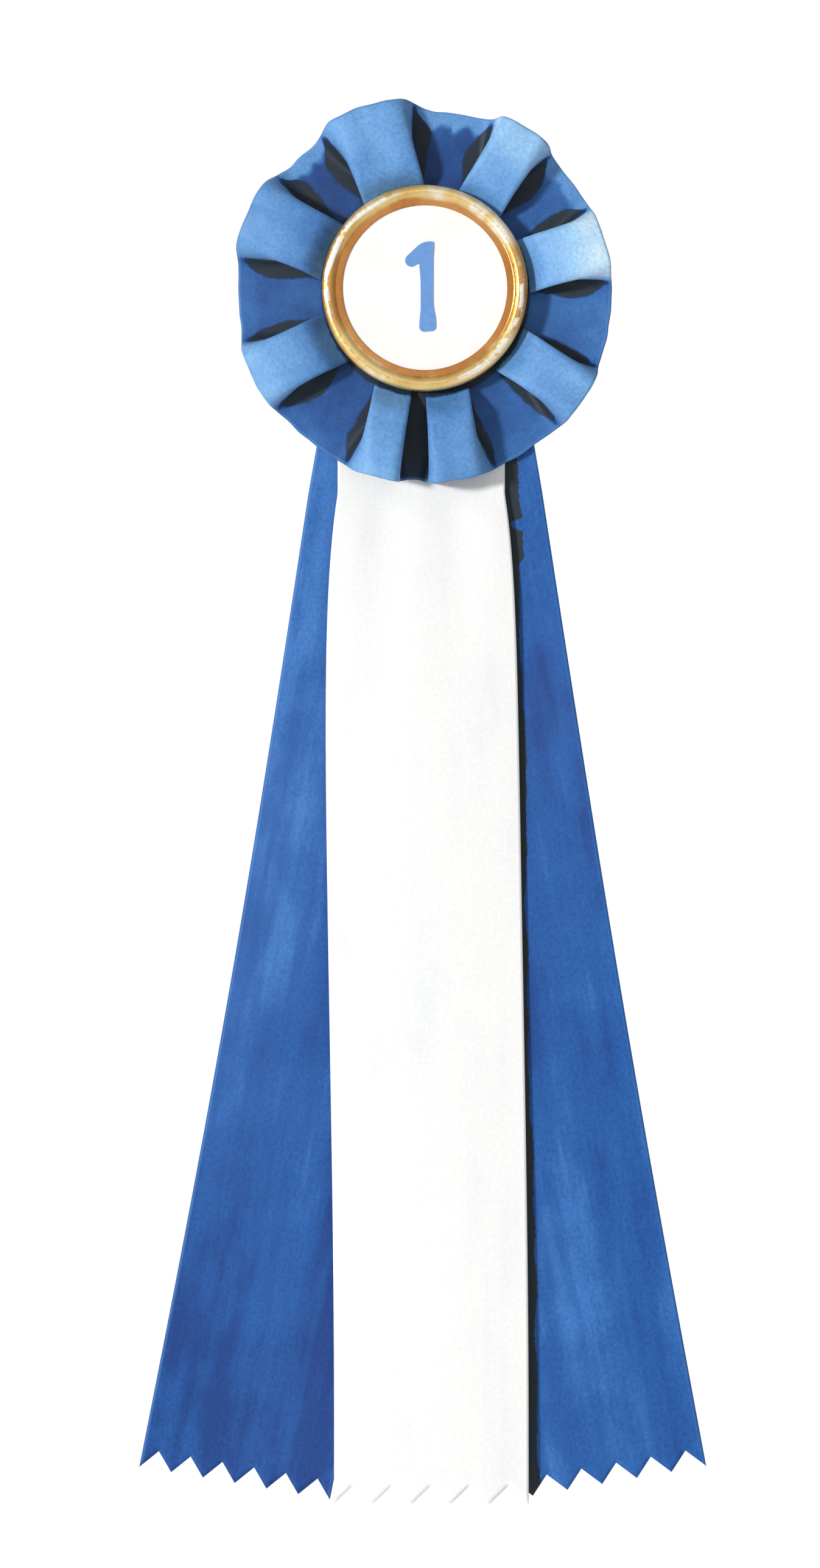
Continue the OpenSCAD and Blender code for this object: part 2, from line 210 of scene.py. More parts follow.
class Shader:
    """A small builder for one node material."""

    def __init__(self, name):
        self.material = bpy.data.materials.new(name)
        self.material.use_nodes = True
        self.tree = self.material.node_tree
        self.surface = self.tree.nodes["Principled BSDF"]

    def node(self, kind, **settings):
        made = self.tree.nodes.new(kind)
        for key, value in settings.items():
            setattr(made, key, value)
        return made

    def join(self, output, socket):
        self.tree.links.new(output, socket)

    def set(self, **values):
        for key, value in values.items():
            self.surface.inputs[key.replace("_", " ")].default_value = value

    def attribute(self, name):
        return self.node("ShaderNodeAttribute", attribute_name=name).outputs["Fac"]

    def math(self, operation, a, b=0.0, clamp=False):
        made = self.node("ShaderNodeMath", operation=operation, use_clamp=clamp)
        for socket, value in zip(made.inputs, (a, b)):
            if isinstance(value, (int, float)):
                socket.default_value = value
            else:
                self.join(value, socket)
        return made.outputs[0]

    def add(self, a, b, clamp=False):
        return self.math("ADD", a, b, clamp)

    def minus(self, a, b):
        return self.math("SUBTRACT", a, b)

    def times(self, a, b):
        return self.math("MULTIPLY", a, b)

    def over(self, a, b):
        return self.math("DIVIDE", a, b)

    def swing(self, noise_value, amount):
        """A noise's distance from its middle value, times amount."""
        return self.times(self.minus(noise_value, 0.5), amount)

    def ramp(self, value, low, high, to_low=0.0, to_high=1.0):
        """A smooth step from to_low to to_high while value goes from low to high."""
        made = self.node("ShaderNodeMapRange", interpolation_type="SMOOTHSTEP")
        self.join(value, made.inputs["Value"])
        for socket, number in zip(("From Min", "From Max", "To Min", "To Max"), (low, high, to_low, to_high)):
            made.inputs[socket].default_value = number
        return made.outputs["Result"]

    def blend(self, factor, a, b, mode="MIX"):
        made = self.node("ShaderNodeMix", data_type="RGBA", blend_type=mode)
        for socket, value in ((made.inputs[0], factor), (made.inputs[6], a), (made.inputs[7], b)):
            if isinstance(value, (int, float)):
                socket.default_value = value
            elif isinstance(value, tuple):
                socket.default_value = (*value, 1)
            else:
                self.join(value, socket)
        return made.outputs[2]

    def coordinates(self, source):
        """The piece's own coordinates for "Object", or its ribbon map for "ribbon", in metres."""
        if source == "ribbon":
            return self.node("ShaderNodeUVMap", uv_map="ribbon").outputs["UV"]
        return self.node("ShaderNodeTexCoord").outputs[source]

    def split(self, source):
        """The coordinates one by one, as outputs X, Y and Z."""
        parts = self.node("ShaderNodeSeparateXYZ")
        self.join(self.coordinates(source), parts.inputs[0])
        return parts.outputs

    def place(self, source, scale):
        """The coordinates times scale, so that a noise on them has about scale features to a metre."""
        mapping = self.node("ShaderNodeMapping")
        mapping.inputs["Scale"].default_value = scale
        self.join(self.coordinates(source), mapping.inputs["Vector"])
        return mapping.outputs["Vector"]

    def noise(self, vector, detail, rough):
        made = self.node("ShaderNodeTexNoise")
        self.join(vector, made.inputs["Vector"])
        made.inputs["Scale"].default_value = 1.0
        made.inputs["Detail"].default_value = detail
        made.inputs["Roughness"].default_value = rough
        return made.outputs["Fac"]

    def wave(self, vector, scale, direction, distortion):
        made = self.node("ShaderNodeTexWave", bands_direction=direction)
        self.join(vector, made.inputs["Vector"])
        made.inputs["Scale"].default_value = scale
        made.inputs["Distortion"].default_value = distortion
        made.inputs["Detail Scale"].default_value = 1.5
        return made.outputs["Fac"]

    def bump(self, height, distance, strength):
        made = self.node("ShaderNodeBump")
        made.inputs["Distance"].default_value = distance
        made.inputs["Strength"].default_value = strength
        self.join(height, made.inputs["Height"])
        return made.outputs["Normal"]

    def grey(self, value):
        """A value as a grey colour."""
        made = self.node("ShaderNodeCombineColor")
        for socket in made.inputs[:3]:
            self.join(value, socket)
        return made.outputs[0]

    def finish(self, colour=None, roughness=None, normal=None):
        if colour is not None:
            self.join(colour, self.surface.inputs["Base Color"])
        if roughness is not None:
            self.join(roughness, self.surface.inputs["Roughness"])
        if normal is not None:
            self.join(normal, self.surface.inputs["Normal"])
        return self.material


def srgb(red, green, blue):
    """A colour given as it looks on a screen, 0 to 255, made linear."""
    return tuple(((c / 255 + 0.055) / 1.055) ** 2.4 if c > 10 else c / 255 / 12.92
                 for c in (red, green, blue))


PER_MM = (1 / MM, 1 / MM, 1 / MM)     # scale for coordinates in millimetres
WARP_PITCH, WEFT_PITCH = 0.24, 0.30   # mm between threads
WARP_SHARE = 0.65                     # of the weave's height
WEAVE_DEPTH = 0.03 * MM
SELVEDGE, SELVEDGE_FADE = 1.0 * MM, 0.4 * MM
SELVEDGE_RISE = 0.8                   # times the weave's height
# the near-black of painted deep shade on the satin
NEAR_BLACK = srgb(33, 42, 45)


def weave_height(s):
    """Satin weave: long floats across fine warp lines."""
    cloth = s.place("ribbon", PER_MM)
    warp = s.wave(cloth, 1 / WARP_PITCH / math.pi, "Y", 0.4)
    weft = s.wave(cloth, 1 / WEFT_PITCH / math.pi, "X", 0.6)
    return s.add(s.times(warp, WARP_SHARE), s.times(weft, 1 - WARP_SHARE))


def selvedge(s, width):
    """1 on the ribbon's two woven edges and 0 between them."""
    across = s.split("ribbon")["Y"]
    from_middle = s.math("ABSOLUTE", s.minus(across, width / 2))
    inner = width / 2 - SELVEDGE
    return s.ramp(from_middle, inner, inner + SELVEDGE_FADE)


def grained(s, colour, fine, grain):
    """The colour, up to grain lighter or deeper as the fine noise goes."""
    return s.blend(1.0, colour, s.grey(s.ramp(fine, 0.30, 0.70, 1 - grain, 1 + grain)), "MULTIPLY")


def finish_satin(s, colour, fine, edge):
    """The weave, the sheen and the gloss that all the satin shares."""
    s.set(Roughness=0.5, Sheen_Weight=0.12, Sheen_Roughness=0.4, Specular_IOR_Level=0.3)
    height = s.add(weave_height(s), s.times(edge, SELVEDGE_RISE))
    rough = s.ramp(fine, 0.3, 0.7, 0.42, 0.60)
    return s.finish(colour, rough, s.bump(height, WEAVE_DEPTH, 0.6))


def satin(name, deep, main, light, width, grain=0.18, shade=None):
    """Dyed satin ribbon: streaks along the ribbon, fine grain, a woven edge with a painted highlight, and a
    silky sheen.

    The tone attribute makes it lighter above 0 and deeper below. shade(s) gives where it goes nearly black.
    """
    s = Shader(name)
    along = s.noise(s.place("ribbon", (14, 150, 1)), 4.0, 0.6)
    cloud = s.noise(s.place("ribbon", (40, 60, 1)), 5.0, 0.6)
    fine = s.noise(s.place("ribbon", (900, 1100, 1)), 3.0, 0.75)
    tone = s.add(s.times(along, 0.5), s.times(cloud, 0.5))
    tone = s.add(tone, s.attribute("tone"))
    colour = s.blend(s.ramp(tone, 0.30, 0.52), deep, main)
    colour = s.blend(s.ramp(tone, 0.50, 0.76), colour, light)
    colour = grained(s, colour, fine, grain)
    edge = selvedge(s, width)
    # the woven edges lighter: a painted highlight
    colour = s.blend(s.times(edge, 0.35), colour, light)
    if shade:
        colour = s.blend(shade(s), colour, NEAR_BLACK)
    return finish_satin(s, colour, fine, edge)


# The pleats' dye with its painted light and shade, from the near-black of painted shadow to the palest
# painted light
PLEAT_DYE_AND_SHADE = (
    (0.0, srgb(34, 44, 52)), (0.12, srgb(30, 48, 72)), (0.26, srgb(28, 70, 132)), (0.42, srgb(52, 106, 170)),
    (0.66, srgb(106, 158, 212)), (0.84, srgb(150, 196, 234)), (1.0, srgb(210, 234, 250)),
)
REAR_TONE = 0.42              # the ribbon's plain back


def pleat_satin(name, front):
    """The head's ribbon: its front pale with painted light on the raised pleats, deep with painted shade
    between them, and nearly black with painted shadow in the hollows and round the rim.

    The tone attribute is its place in PLEAT_DYE_AND_SHADE, and dark is how far in millimetres it lies inside
    that painted shadow.
    """
    s = Shader(name)
    along = s.noise(s.place("ribbon", (90, 45, 1)), 4.0, 0.6)
    cloud = s.noise(s.place("Object", (110, 110, 110)), 4.0, 0.6)
    fine = s.noise(s.place("ribbon", (1000, 1000, 1)), 3.0, 0.75)
    wash = s.add(s.times(along, 0.5), s.times(cloud, 0.5))
    wash = s.swing(wash, 0.44)
    tone = s.add(s.attribute("tone") if front else REAR_TONE, wash, clamp=True)
    if front:
        # painted near-black shadow where dark is above 0, its edge made blotchy
        bleed = s.noise(s.place("Object", (420, 420, 420)), 3.0, 0.6)
        dark = s.add(s.attribute("dark"), s.swing(bleed, 1.2))
        tone = s.times(tone, s.ramp(dark, 0.0, 0.9, 1.0, 0.06))
    ramp = s.node("ShaderNodeValToRGB")
    s.join(tone, ramp.inputs["Fac"])
    stops = ramp.color_ramp.elements
    while len(stops) < len(PLEAT_DYE_AND_SHADE):
        stops.new(0.5)
    for stop, (place, dye) in zip(stops, PLEAT_DYE_AND_SHADE):
        stop.position = place
        stop.color = (*dye, 1)
    colour = grained(s, ramp.outputs["Color"], fine, 0.14)
    edge = selvedge(s, HEAD_R - PLEAT_INNER_R)
    # the woven edges lighter: a painted highlight
    colour = s.blend(s.times(edge, 0.25), colour, srgb(96, 146, 200))
    return finish_satin(s, colour, fine, edge)


AMBER_R, GOLD_R = RIM_R - 3.9 * MM, RIM_R - 2.9 * MM   # between them the amber step turns into the gold bead
CREST_R = RIM_R - 1.5 * MM                             # top of the bead
GLINT = Vector((-0.87, 0.49))                          # right and up, toward one of the two painted white highlights


def gold_metal():
    """Brushed gold: pale on the outer bead, amber on the inner step, with painted white highlights, darker in
    patches.
    """
    s = Shader("gold_metal")
    place = s.split("Object")
    across = s.minus(place["X"], RIM.x)
    up = s.minus(place["Z"], RIM.z)
    radius = s.math("SQRT", s.add(s.times(across, across), s.times(up, up)))
    patches = s.noise(s.place("Object", (60, 60, 60)), 3.0, 0.6)
    fine = s.noise(s.place("Object", (900, 900, 900)), 3.0, 0.6)
    moved = s.add(radius, s.swing(patches, 3.4 * MM))
    outer = s.ramp(moved, AMBER_R, GOLD_R)
    amber = s.blend(s.ramp(patches, 0.35, 0.65), srgb(186, 118, 56), srgb(212, 152, 90))
    pale = s.blend(s.ramp(patches, 0.38, 0.55), srgb(224, 178, 100), srgb(240, 208, 138))
    # painted white highlights in patches on the bead
    pale = s.blend(s.ramp(patches, 0.56, 0.66), pale, srgb(253, 244, 222))
    colour = s.blend(outer, amber, pale)
    # painted white highlights along the bead's crest, at its left and lower right
    toward = s.add(s.times(across, GLINT.x), s.times(up, GLINT.y))
    facing = s.ramp(s.over(s.math("ABSOLUTE", toward), radius), 0.62, 0.90)
    crest = s.ramp(s.math("ABSOLUTE", s.minus(moved, CREST_R)), 0.4 * MM, 0.8 * MM, 1.0, 0.0)
    broken = s.ramp(s.noise(s.place("Object", (240, 240, 240)), 3.0, 0.6), 0.40, 0.50)
    glint = s.times(s.times(facing, crest), broken)
    # and darker in patches at the two sides
    darker_sides = s.ramp(s.over(s.math("ABSOLUTE", across), radius), 0.84, 0.97)
    darker_sides = s.times(darker_sides, s.ramp(patches, 0.30, 0.55, 0.25, 0.85))
    colour = s.blend(darker_sides, colour, srgb(194, 130, 66))
    colour = s.blend(glint, colour, srgb(253, 250, 240))
    s.set(Metallic=0.75, Roughness=0.3)
    rough = s.ramp(fine, 0.3, 0.7, 0.24, 0.42)
    return s.finish(colour, rough, s.bump(fine, 0.02 * MM, 0.5))


def paper(name, main, shade):
    """Matte paper or card with a felt-like tooth and a few fibres."""
    s = Shader(name)
    tooth = s.noise(s.place("Object", (700, 700, 700)), 4.0, 0.65)
    fibres = s.noise(s.place("Object", (260, 260, 2200)), 2.0, 0.5)
    cloud = s.noise(s.place("Object", (55, 55, 55)), 3.0, 0.5)
    colour = s.blend(s.ramp(cloud, 0.35, 0.75), main, shade)
    colour = s.blend(s.times(s.ramp(fibres, 0.62, 0.75), 0.35), colour, shade)
    height = s.add(tooth, s.times(fibres, 0.5))
    s.set(Roughness=0.85, Specular_IOR_Level=0.25)
    return s.finish(colour, None, s.bump(height, 0.06 * MM, 0.7))


def print_ink():
    """The numeral's ink: even blue with the paper's tooth just showing."""
    s = Shader("numeral_print")
    tooth = s.noise(s.place("Object", (700, 700, 700)), 4.0, 0.65)
    colour = s.blend(s.ramp(tooth, 0.35, 0.70), srgb(100, 145, 204), srgb(107, 152, 210))
    s.set(Roughness=0.6, Specular_IOR_Level=0.3)
    return s.finish(colour, None, s.bump(tooth, 0.03 * MM, 0.5))


def metal(name, main, worn, roughness):
    """Drawn or pressed metal with fine brush lines, worn patches and pitting."""
    s = Shader(name)
    lines = s.noise(s.place("Object", (300, 2600, 2600)), 2.0, 0.6)
    patches = s.noise(s.place("Object", (240, 240, 240)), 4.0, 0.6)
    colour = s.blend(s.ramp(patches, 0.40, 0.65), main, worn)
    s.set(Metallic=1.0, Roughness=roughness)
    rough = s.ramp(patches, 0.3, 0.7, roughness - 0.06, roughness + 0.12)
    return s.finish(colour, rough, s.bump(lines, 0.012 * MM, 0.5))


def thread():
    """Twisted sewing thread."""
    s = Shader("thread")
    twist = s.wave(s.place("Object", PER_MM), 2.2, "DIAGONAL", 0.5)
    colour = s.blend(twist, srgb(20, 60, 120), srgb(52, 104, 172))
    s.set(Roughness=0.75, Sheen_Weight=0.3)
    return s.finish(colour, None, s.bump(twist, 0.05 * MM, 0.8))


# ------------------------------------------------------------------ camera, light, backdrop

OBJECT_SHARE = 0.894          # the object's share of the picture's height
# The camera looks this far left of and above the object's middle, as shares of the picture's height
SHIFT_LEFT, SHIFT_UP = 0.0069, 0.0115
LENS, SENSOR = 150, 36        # mm; the sensor's size is along the picture's height
# Each lamp: which way its light goes, its brightness, and its softness in degrees
LAMPS = {
    "key": (Vector((0.78, 0.90, -0.10)), 0.625, 7),
    "fill": (Vector((-0.15, 0.90, -0.25)), 0.07, 40),
    "back": (Vector((0.40, -0.90, -0.35)), 0.40, 50),
}
WORLD_COLOUR, WORLD_STRENGTH = (0.98, 0.99, 1, 1), 0.32
FLOOR_DROP = 450 * MM         # below the streamers' ends
FLOOR_R, TENT_R = 3.0, 6.0    # metres
TENT_SIDES, TENT_RINGS = 96, 24


def look_from(piece, place, target):
    piece.location = place
    piece.rotation_euler = (Vector(target) - Vector(place)).to_track_quat("-Z", "Y").to_euler()


def add_camera():
    height = (cad_high.z - cad_low.z) / OBJECT_SHARE
    centre = (cad_low + cad_high) / 2
    target = Vector((centre.x - SHIFT_LEFT * height, PLEAT_Y, centre.z + SHIFT_UP * height))
    distance = height / 2 * LENS / (SENSOR / 2)
    data = bpy.data.cameras.new("camera")
    data.lens = LENS
    data.sensor_width = SENSOR
    camera = bpy.data.objects.new("camera", data)
    bpy.context.scene.collection.objects.link(camera)
    look_from(camera, target - Vector((0, distance, 0)), target)
    bpy.context.scene.camera = camera


def add_sun(name, direction, brightness, softness):
    """A distant lamp that lights an upright surface by brightness, where 1 shows white as white."""
    data = bpy.data.lights.new(name, "SUN")
    data.energy = brightness * math.pi * direction.length / abs(direction.y)
    data.angle = math.radians(softness)
    lamp = bpy.data.objects.new(name, data)
    bpy.context.scene.collection.objects.link(lamp)
    lamp.rotation_euler = direction.to_track_quat("-Z", "Y").to_euler()


def add_light():
    for name, (direction, brightness, softness) in LAMPS.items():
        add_sun(name, direction, brightness, softness)
    world = bpy.data.worlds.new("world")
    world.use_nodes = True
    background = world.node_tree.nodes["Background"]
    background.inputs["Color"].default_value = WORLD_COLOUR
    background.inputs["Strength"].default_value = WORLD_STRENGTH
    bpy.context.scene.world = world
    bpy.context.scene.view_settings.view_transform = "Standard"


def ring(radius, z):
    """Points of a level circle round the object."""
    centre = (cad_low + cad_high) / 2
    turns = (2 * math.pi * i / TENT_SIDES for i in range(TENT_SIDES))
    return [(centre.x + radius * math.cos(a), centre.y + radius * math.sin(a), z) for a in turns]


def build_floor():
    floor = new_mesh("floor", ring(FLOOR_R, cad_low.z - FLOOR_DROP), [tuple(range(TENT_SIDES))])
    s = Shader("floor")
    tone = s.noise(s.place("Object", (3, 3, 3)), 2.0, 0.5)
    s.set(Roughness=0.9, Specular_IOR_Level=0.1, Emission_Color=(1, 1, 1, 1), Emission_Strength=0.22)
    floor.data.materials.append(s.finish(s.blend(tone, (0.93, 0.93, 0.93), (0.96, 0.96, 0.96))))
    return floor


def build_tent():
    """A plain white tent all round, which only the camera sees."""
    middle_z = (cad_low.z + cad_high.z) / 2
    points = []
    for i in range(TENT_RINGS + 1):
        a = math.pi * (i / TENT_RINGS - 0.5) * 0.998      # a small hole is left at each pole
        points += ring(TENT_R * math.cos(a), middle_z + TENT_R * math.sin(a))
    faces = []
    for i in range(TENT_RINGS):
        here, above = i * TENT_SIDES, (i + 1) * TENT_SIDES
        for j in range(TENT_SIDES):
            k = (j + 1) % TENT_SIDES
            faces.append((here + j, above + j, above + k, here + k))
    tent = new_mesh("tent", points, faces)
    glow = Shader("tent")
    glow.set(Base_Color=(0, 0, 0, 1), Specular_IOR_Level=0, Emission_Color=(1, 1, 1, 1), Emission_Strength=1)
    tent.data.materials.append(glow.material)
    tent.visible_diffuse = False
    tent.visible_glossy = False
    tent.visible_transmission = False
    tent.visible_shadow = False
    return tent


def add_stage():
    build_floor()
    build_tent()


# ------------------------------------------------------------------ ribbon


class Cloth:
    """A ribbon's mesh in the making, column by column: points, their tones and their places on the ribbon."""

    def __init__(self):
        self.points, self.tones, self.darks, self.us, self.vs = [], [], [], [], []

    def add(self, point, tone, u, v):
        self.points.append(point)
        self.tones.append(tone)
        self.us.append(u)
        self.vs.append(v)

    def make(self, name, rows, materials, closed=False):
        """The finished piece, with its two materials in the order that thicken() takes them."""
        piece = new_mesh(name, self.points, grid_faces(len(self.points) // rows, rows, closed))
        point_attribute(piece, "tone", self.tones)
        if self.darks:
            point_attribute(piece, "dark", self.darks)
        cloth_uv(piece, self.us, self.vs)
        thicken(piece, RIBBON_T)
        for material in materials:
            piece.data.materials.append(material)
        return piece


# ------------------------------------------------------------------ the pleated head

# A share of the way out is 0 at the ribbon's stitched edge and 1 at its open edge
PLEAT_ROWS = 44               # rows of points from the stitched edge to the open edge
SECTION_STEPS = 361           # points along the ribbon when a cross-section is worked out
HALVINGS, LEVELLINGS = 16, 3  # rounds in the search for a fold's opening, and for its tilt
PLEAT_GAP = 0.25 * MM         # from the card to the ribbon in the valleys
PRESSED = 0.42                # share of a fold's height that is left under the button
PRESS_R, PRESS_FADE = RIM_R - 1.5 * MM, 7.5 * MM   # pressed up to this radius, free this much further out
FRILL, RIPPLE = 0.35 * MM, 0.5 * MM   # unevenness of the open edge, outwards and forwards
# Where a valley's painted shade turns paler to its outer tone, how quickly, and how ragged that line is,
# as shares of the way out
PALER_FROM, PALER_FADE, PALER_RAGGED = 0.76, 0.10, 0.10
HOLLOW_FROM, HOLLOW_TO = 0.18, 0.92   # where a hollow's painted shadow starts and ends, as shares of the way out
CREASE_DARK = 0.5 * MM                # width of the painted shade line along a crease, on which the hollow's painted shadow lies
RIM_SHADOW, RIM_WIDER = 0.6 * MM, 1.4 * MM   # width of the painted shadow line round the rim, and how much wider it gets
RIM_WIDEST_AT = math.radians(165)     # clockwise from the top
# The dark attribute, which paints shadow: its greatest and least value, and its value on top of a raised
# pleat
DARK_MOST, DARK_LEAST, DARK_ON_TOP = 2.0, -3.0, -2.0


class Fold:
    """One pleat, from the middle of a valley to the middle of the next: its cross-section at any radius.

    It has five parts: half a valley, a side, the raised top, a side, and half the next valley.
    """

    PER_PART = (20, 18, 20, 18, 20)     # columns of points in each part

    def __init__(self, k):
        self.number = k
        self.valleys = VALLEYS[k], VALLEYS[(k + 1) % len(VALLEYS)]
        self.pleat = PLEATS[k]
        here, after = self.valleys
        self.start = math.radians(here.bearing)
        self.span = math.radians((after.bearing - here.bearing) % 360)
        gap_a, gap_b = here.inner_w * MM / 2, after.inner_w * MM / 2
        top = PLEAT_INNER_R * self.span - gap_a - gap_b
        self.inner = np.array([gap_a + SIDE, SIDE, top, SIDE, gap_b + SIDE])
        self.length = self.inner.sum()
        floor_a, floor_b = here.outer_w * MM / 2, after.outer_w * MM / 2
        top = ARCH_TOP * (HEAD_R * self.span - floor_a - floor_b)
        side = (self.length - floor_a - floor_b - top) / 2
        self.outer = np.array([floor_a, side, top, side, floor_b])
        # each column's place as part number plus share of that part
        self.columns = np.concatenate([
            part + np.linspace(0, 1, count, endpoint=False) for part, count in enumerate(self.PER_PART)])

    def section(self, share):
        """Each column's t along the ribbon, x round the head and h forwards, at this share of the way out."""
        radius = mix(PLEAT_INNER_R, HEAD_R, share)
        crease = mix(INNER_CREASE, OUTER_CREASE, share ** 1.2)
        parts = mix(self.inner, self.outer, share)
        corners = np.concatenate([[0], np.cumsum(parts)])
        wanted = radius * self.span
        low, high = 0.0, 2.0
        for _ in range(HALVINGS):
            opening = (low + high) / 2
            fine, x, h = self.level(opening, crease, corners)
            if x[-1] < wanted:
                low = opening
            else:
                high = opening
        x = x * wanted / x[-1]
        h = h - h[-1] * smooth(fine / self.length)
        t = np.interp(self.columns, range(len(corners)), corners)
        return t, np.interp(t, fine, x), np.interp(t, fine, h)

    def level(self, opening, crease, corners):
        """The section whose two ends are at the same height, with its sides opened this far."""
        tilt = 0.0
        fine = np.linspace(0, self.length, SECTION_STEPS)
        step = fine[1]
        cosines = [-1 + valley.opening * opening for valley in self.valleys]
        turn_a, turn_b = (math.acos(max(-1, min(1, cosine))) for cosine in cosines)
        s1, s2, s3, s4 = (smooth((fine - c) / crease + 0.5) for c in corners[1:5])   # 1 past each corner
        for _ in range(LEVELLINGS):
            angle = turn_a * (s1 - s2) + tilt * (s2 - s3) - turn_b * (s3 - s4)
            middle_angle = (angle[1:] + angle[:-1]) / 2
            x = np.concatenate([[0], np.cumsum(np.cos(middle_angle) * step)])
            h = np.concatenate([[0], np.cumsum(np.sin(middle_angle) * step)])
            tilt -= h[-1] / (corners[3] - corners[2])
        return fine, x, h

    def visible_edges(self, x):
        """x of the raised loop's two sides as seen from the front; the hollows start there."""
        loop = (self.columns > 1) & (self.columns < 4)
        return x[loop].min(), x[loop].max()


def press(radius):
    """Share of a fold's height that the button leaves standing at this radius."""
    return mix(PRESSED, 1.0, float(smooth((radius - PRESS_R) / PRESS_FADE)))


def pleat_point(valley, pleat, rise, share, angle, h):
    """A point of the head's ribbon at this share of the way out; rise is 0 in a valley and 1 on a pleat."""
    radius = mix(PLEAT_INNER_R, HEAD_R, share)
    sine, cosine = math.sin(angle), math.cos(angle)
    frill = FRILL * noise.noise(Vector((sine * 9, cosine * 9, 2.0)))
    ripple = RIPPLE * noise.noise(Vector((sine * 11, cosine * 11, radius * 70)))
    radial = radius + share ** 3 * (mix(valley.reach, pleat.reach, rise) * MM + frill)
    lift = h * press(radius) + ripple * share * rise
    return HEAD.x + radial * sine, PLEAT_Y - PLEAT_GAP - lift, HEAD.z + radial * cosine


def pleat_tone(valley, pleat, up, share, angle):
    """The painted shade and light there: the valley's, which changes at a ragged line, or the raised pleat's
    where up is 1.
    """
    ragged = PALER_RAGGED * noise.noise(Vector((angle * 14, share * 3, 5)))
    paler = float(smooth((share - PALER_FROM + ragged) / PALER_FADE))
    in_valley = mix(valley.inner_tone, valley.outer_tone, paler)
    on_top = mix(pleat.inner_tone, pleat.outer_tone, float(smooth(share)))
    return mix(in_valley, on_top, up)


def hollow(share, distance, widest, seed):
    """How far, in millimetres, a point lies inside the painted near-black shadow in the hollow beside a fold;
    below 0 it's outside.

    distance is how far the point is from the fold's visible edge.
    """
    along = (share - HOLLOW_FROM) / (HOLLOW_TO - HOLLOW_FROM)
    width = CREASE_DARK * (1 - float(smooth((share - HOLLOW_TO) / (1 - HOLLOW_TO))))
    if 0 < along < 1:
        skew = 1.4 + 0.4 * noise.noise(Vector((seed * 7.3, 0.3, 7)))
        width += widest * math.sin(math.pi * along ** skew)
    rough = 1 + 0.15 * noise.noise(Vector((seed * 9, share * 3, 1)))
    return (width * rough - distance) / MM


def rim_shadow(point):
    """The same as hollow() for the painted shadow line round the gold rim, which is widest below it."""
    x, z = point[0] - RIM.x, point[2] - RIM.z
    width = RIM_SHADOW + RIM_WIDER * max(0.0, math.cos(math.atan2(x, z) - RIM_WIDEST_AT))
    return (RIM_R + width - math.hypot(x, z)) / MM


def add_column(cloth, fold, i, sections, run):
    """Adds a fold's column i to the cloth; run is the length of ribbon before this fold."""
    c = fold.columns[i]                              # from 0 to 5, in parts of the fold
    second = c >= 2.5                                # the half that ends in the next valley
    here, after = fold.valleys
    valley = after if second else here
    widest = (after.hollow_1 if second else here.hollow_2) * MM
    from_valley = min(c, 5 - c)
    up = float(smooth((from_valley - 1.0) / 0.7))    # 1 on the raised top
    rise = float(smooth((from_valley - 0.4) / 1.6))
    for j, (t, x, h) in enumerate(sections):
        share = j / (PLEAT_ROWS - 1)
        radius = mix(PLEAT_INNER_R, HEAD_R, share)
        angle = fold.start + x[i] / radius
        point = pleat_point(valley, fold.pleat, rise, share, angle, h[i])
        cloth.add(point, pleat_tone(valley, fold.pleat, up, share, angle), run + t[i], radius - PLEAT_INNER_R)
        left, right = fold.visible_edges(x)
        distance = x[i] - right if second else left - x[i]
        inside = hollow(share, distance, widest, fold.number + (0.75 if second else 0.25))
        inside = mix(min(DARK_MOST, inside), DARK_ON_TOP, up)
        cloth.darks.append(max(DARK_LEAST, inside, min(DARK_MOST, rim_shadow(point))))


def build_pleats():
    cloth = Cloth()
    run = 0.0
    for k in range(len(VALLEYS)):
        fold = Fold(k)
        sections = [fold.section(j / (PLEAT_ROWS - 1)) for j in range(PLEAT_ROWS)]
        for i in range(len(fold.columns)):
            add_column(cloth, fold, i, sections, run)
        run += fold.length
    rear, front = pleat_satin("pleat_satin_rear", front=False), pleat_satin("pleat_satin", front=True)
    piece = cloth.make("pleated_satin", PLEAT_ROWS, [rear, front], closed=True)
    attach(piece, "head")
    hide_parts("pleated_ribbon")


# ------------------------------------------------------------------ the streamers

TOOTH = 4.8 * MM              # depth of a pinked tooth
TOOTH_ROWS = 22 * MM          # the teeth's slant fades out over this length
TOOTH_COLUMNS, STREAMER_ROWS = 12, 190   # columns of points to a tooth, and rows
BLUE_TOP = FAN_DROP - 6 * MM  # upper ends of the streamers, above the point where the blue ones cross
WHITE_TOP = FAN_DROP - 4 * MM
LEFT_DROP, RIGHT_DROP = 285.5 * MM, 285 * MM   # the blue streamers' length below that point

# The white streamer's root lies this far behind its free part, which comes forward again below the bend
WHITE_ROOT_BACK, WHITE_FORWARD = 0.9 * MM, 0.7 * MM
# It is gathered under the head, opens out over OPENS, and leans from left to right
GATHER, OPENS = 0.14, 22 * MM
GATHER_DEPTH, GATHER_FOLDS = 0.9 * MM, 2.5
LEAN_TOP, LEAN_END = -0.9 * MM, 1.7 * MM
LEAN_FROM, LEAN_TO = BEND_Z - 20 * MM, BEND_Z - 240 * MM
# It waves and crowns a little, and its end curls forward
WHITE_WAVE, WHITE_WAVE_LENGTH = 0.5 * MM, 34 * MM
WHITE_CROWN = 1.0 * MM
CURL, CURL_LENGTH = 0.5 * MM, 45 * MM

# The blue ones wave as a whole, and more along their outer edges
BLUE_WAVE, BLUE_WAVE_LENGTH = 0.8 * MM, 38 * MM
EDGE_WAVE, EDGE_WAVE_LENGTH = 1.6 * MM, 55 * MM
STRIP_BREAK = BEND_Z - 7.8 * MM   # the painted near-black shadow strip on the right one is broken at this height
